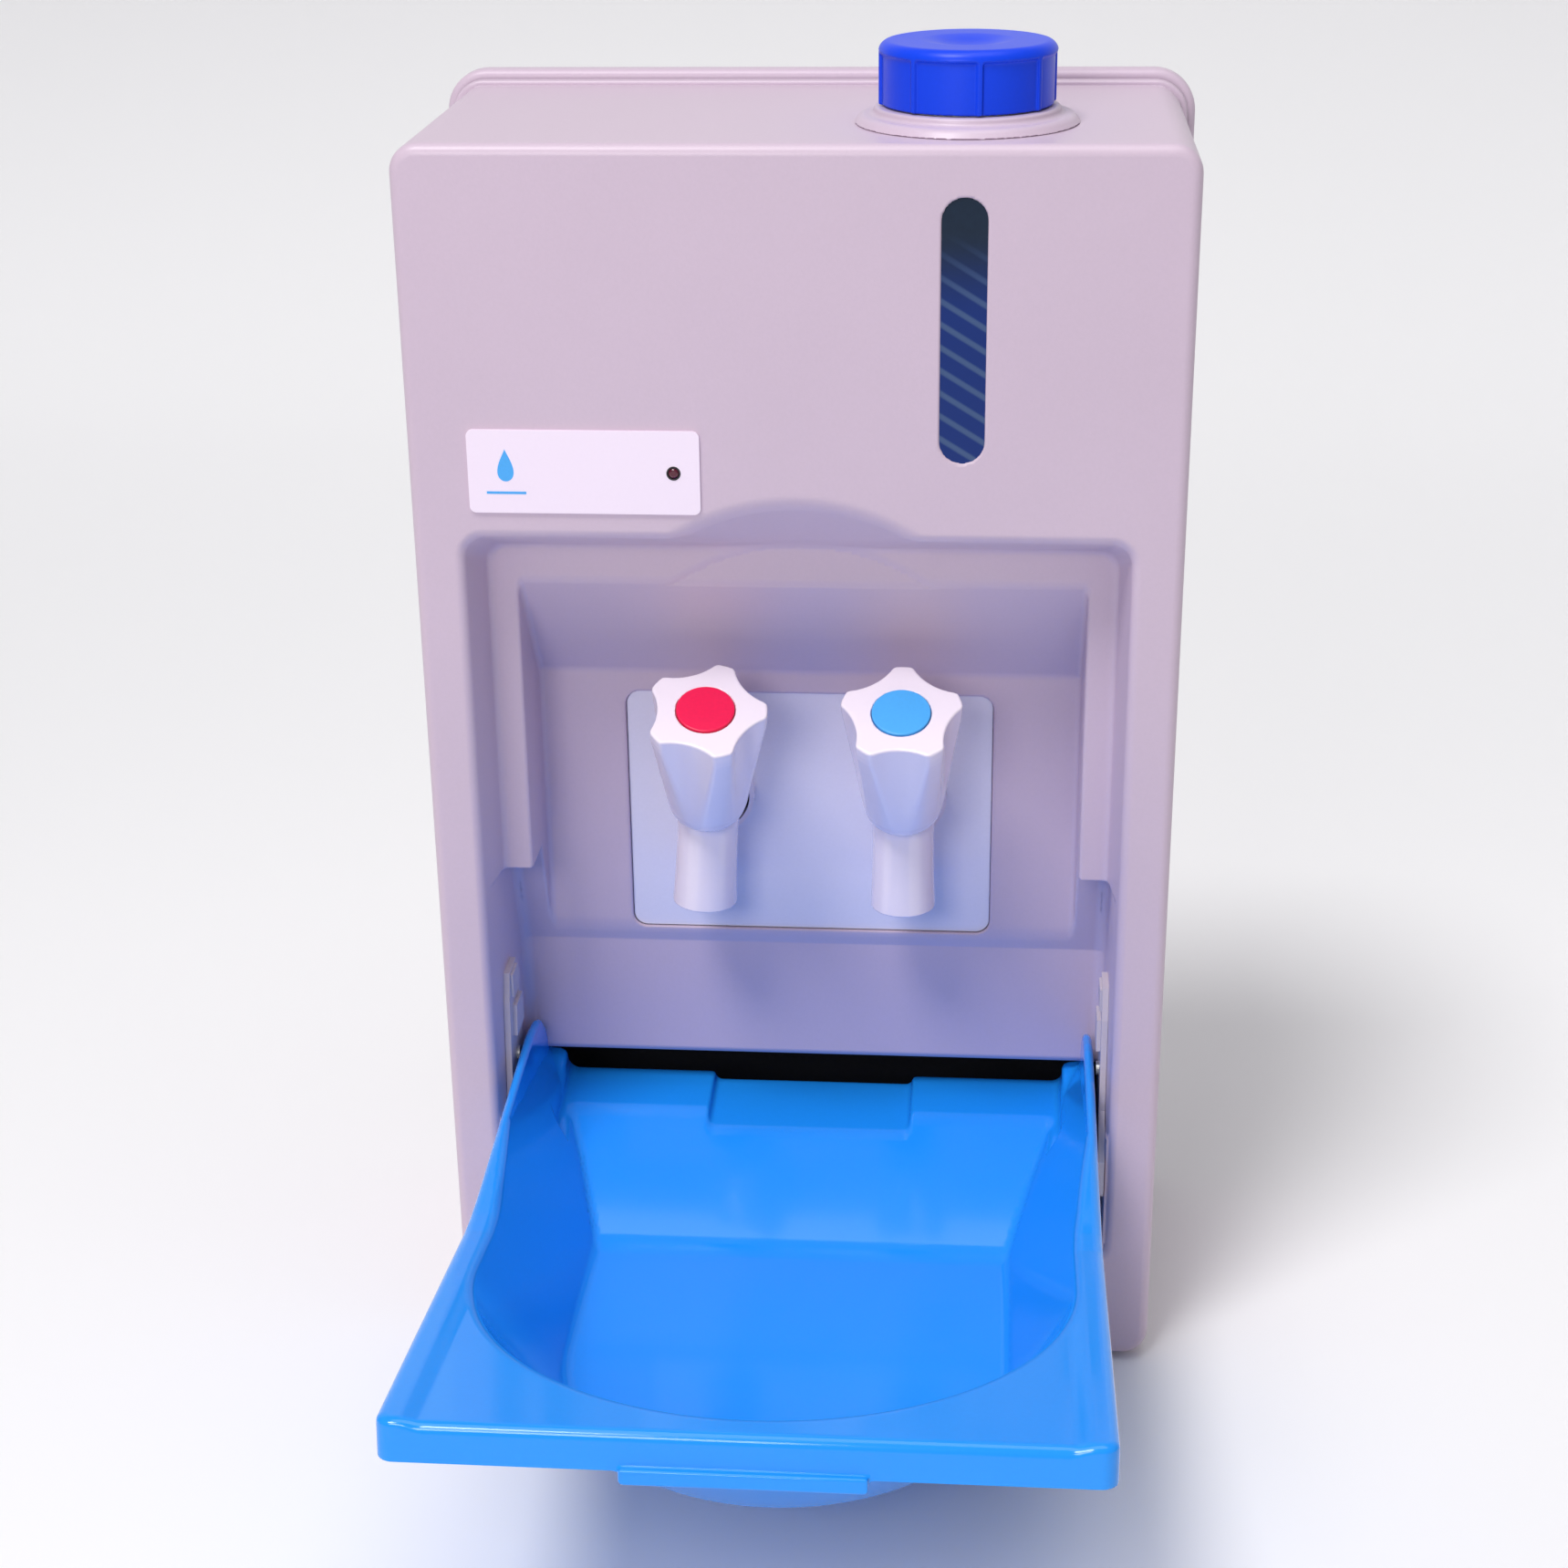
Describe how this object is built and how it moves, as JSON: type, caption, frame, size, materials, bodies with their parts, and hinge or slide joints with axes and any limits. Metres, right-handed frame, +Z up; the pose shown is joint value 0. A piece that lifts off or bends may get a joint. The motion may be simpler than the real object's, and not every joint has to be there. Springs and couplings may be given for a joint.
{
  "type": "portable handwash sink",
  "caption": "Portable handwash unit: tall grey plastic housing with filler cap and level window, hot and cold star-knob taps in a recess, and a blue tip-up basin that empties into a waste tank.",
  "frame": {"origin": "middle of the housing's base, on the plane that its anti-slip pad stands on", "axes": "+X to the user's right, +Y from the front face to the back, +Z up"},
  "size_m": [0.364, 0.4972, 0.6465],
  "materials": {
    "housing_grey": "fine satin moulded ABS",
    "back_grey": "fine satin moulded ABS",
    "basin_blue": "glossy moulded polystyrene",
    "cap_blue": "semi-gloss moulded polyethylene",
    "tap_white": "glossy acetal",
    "hot_red": "moulded insert",
    "cold_blue": "moulded insert",
    "label_white": "printed polyester sheet",
    "led_red": "tinted lens",
    "black_plastic": "moulded nylon",
    "window_dark": "smoked acrylic",
    "seal_rubber": "EPDM",
    "tank_natural": "natural polyethylene",
    "waste_grey": "moulded polyethylene",
    "stainless": "bright steel",
    "foam": "closed-cell foam",
    "zinc": "zinc plated steel",
    "hose_clear": "silicone hose",
    "bracket_grey": "glass-filled nylon"
  },
  "bodies": {
    "housing": {"front_cover": "housing_grey", "rear_shell": "back_grey", "cover_gasket": "seal_rubber", "cover_screws": "zinc", "base_pad": "seal_rubber", "filler_collar": "housing_grey", "fresh_water_tank": "tank_natural", "hot_water_tank": "stainless", "tank_jacket": "foam", "heater_element": "stainless", "thermostat": "black_plastic", "waste_tank": "waste_grey", "hinge_bracket_left": "bracket_grey", "hinge_bracket_right": "bracket_grey", "bracket_screws": "zinc", "hinge_pins": "stainless", "tap_plate": "housing_grey", "label_plate": "label_white", "led_lens": "led_red", "led_holder": "black_plastic", "level_window": "window_dark", "window_seal": "seal_rubber", "cold_tap_body": "tap_white", "hot_tap_body": "tap_white", "tap_escutcheons": "tap_white", "tap_washers": "seal_rubber", "tank_neck": "tank_natural", "waste_deck": "waste_grey", "tap_backnuts": "black_plastic", "cold_hose": "hose_clear", "hot_feed_hose": "hose_clear", "hot_outlet_hose": "hose_clear", "hose_clips": "stainless", "control_box": "black_plastic", "power_inlet": "black_plastic", "supply_lead": "seal_rubber", "heater_lead": "seal_rubber"},
    "basin": {"basin": "basin_blue"},
    "cold_knob_body": {"cold_knob": "tap_white", "cold_spindle": "stainless", "cold_index_disc": "cold_blue", "cold_knob_screw": "zinc"},
    "hot_knob_body": {"hot_knob": "tap_white", "hot_spindle": "stainless", "hot_index_disc": "hot_red", "hot_knob_screw": "zinc"},
    "cap_carrier": {"filler_seal": "seal_rubber"},
    "cap": {"filler_cap": "cap_blue"}
  },
  "joints": [
    {"name": "basin_fold", "type": "hinge", "parent": "housing", "child": "basin", "pos_m": [0, -0.084, 0.1], "axis": [-1, 0, 0], "range_deg": [0, 81.16]},
    {"name": "cold_knob_turn", "type": "hinge", "parent": "housing", "child": "cold_knob_body", "pos_m": [0.048, -0.047, 0.2845], "axis": [0, -0.4695, 0.8829], "range_deg": [0, 540]},
    {"name": "hot_knob_turn", "type": "hinge", "parent": "housing", "child": "hot_knob_body", "pos_m": [-0.0476, -0.047, 0.28449], "axis": [0.0539, -0.4695, 0.8813], "range_deg": [0, 540]},
    {"name": "cap_lift", "type": "slide", "parent": "housing", "child": "cap_carrier", "axis": [0, 0, 1], "range_m": [0, 0.0081]},
    {"name": "cap_turn", "type": "hinge", "parent": "cap_carrier", "child": "cap", "pos_m": [0.074, -0.031, 0.619], "axis": [0, 0, 1], "range_deg": [0, 720]}
  ],
  "couplings": [
    {"joint": "cap_lift", "follows": "cap_turn", "m_per_rad": 0.00063662}
  ]
}
